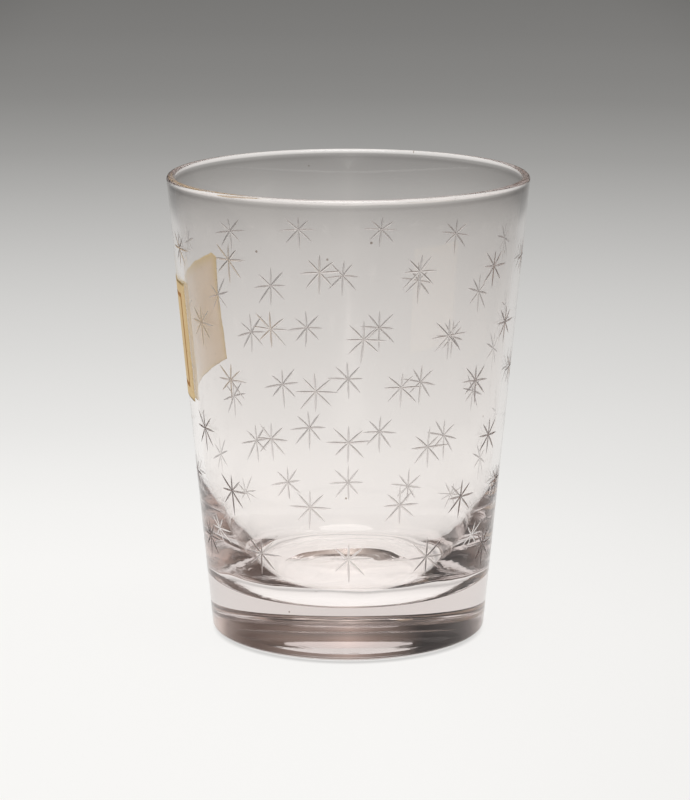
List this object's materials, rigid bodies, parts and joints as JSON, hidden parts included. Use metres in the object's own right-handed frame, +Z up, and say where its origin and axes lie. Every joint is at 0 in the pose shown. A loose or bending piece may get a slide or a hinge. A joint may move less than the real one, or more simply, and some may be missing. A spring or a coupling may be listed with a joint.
{
  "type": "glass beaker",
  "caption": "Tapered clear glass drinking beaker with a heavy rounded base, rows of cut stars round its wall and an old paper label on one side.",
  "frame": {"origin": "centre of the foot, on the table that the beaker stands on", "axes": "+Z up the beaker's axis, -Y to the front that the picture shows, +X to its right"},
  "size_m": [0.0736, 0.0736, 0.095],
  "materials": {
    "glass": "clear, fire polished, with a faint pink cast",
    "label_paper": "matte, browned with age"
  },
  "bodies": {
    "root": {"beaker_body": "glass", "paper_label": "label_paper"}
  },
  "joints": []
}
